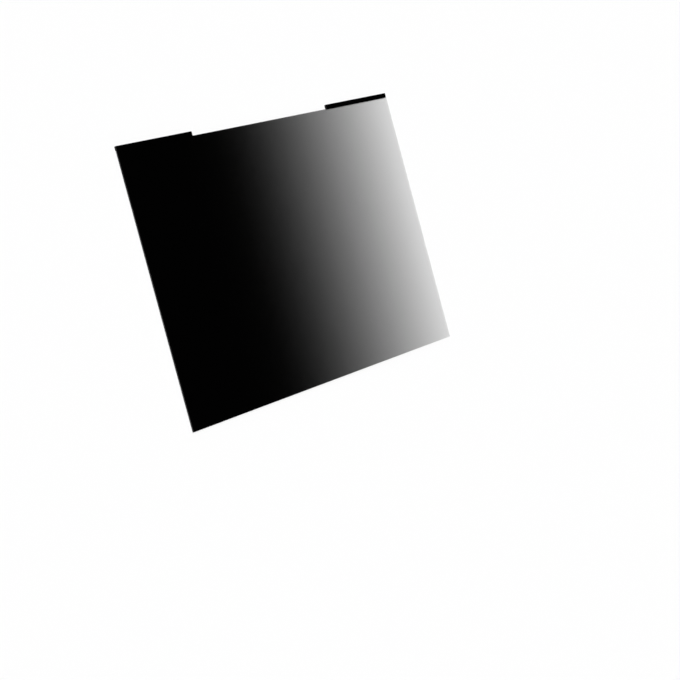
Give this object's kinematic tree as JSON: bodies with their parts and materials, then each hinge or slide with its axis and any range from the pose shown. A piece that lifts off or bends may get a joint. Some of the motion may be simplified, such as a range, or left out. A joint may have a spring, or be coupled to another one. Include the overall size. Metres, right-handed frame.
{
  "type": "laptop privacy filter",
  "caption": "Flat laptop privacy filter: a tinted rectangular louvre film with a black magnet strip behind a low ear at each top corner, leaving the webcam gap between them clear.",
  "frame": {"origin": "middle of the outline in X and Y, at the back faces of the magnet strips, which the filter lies on", "axes": "+X across the width towards the viewer's right, +Y up the screen towards the edge with the ears, +Z out of the viewing face"},
  "size_m": [0.344, 0.1968, 0.0014],
  "materials": {
    "film": null,
    "magnet": "matt black flexible ferrite strip",
    "tape": "black double-sided tape"
  },
  "bodies": {
    "root": {"privacy_film": "film", "left_magnet_strip": "magnet", "right_magnet_strip": "magnet", "left_adhesive_tape": "tape", "right_adhesive_tape": "tape"}
  },
  "joints": []
}
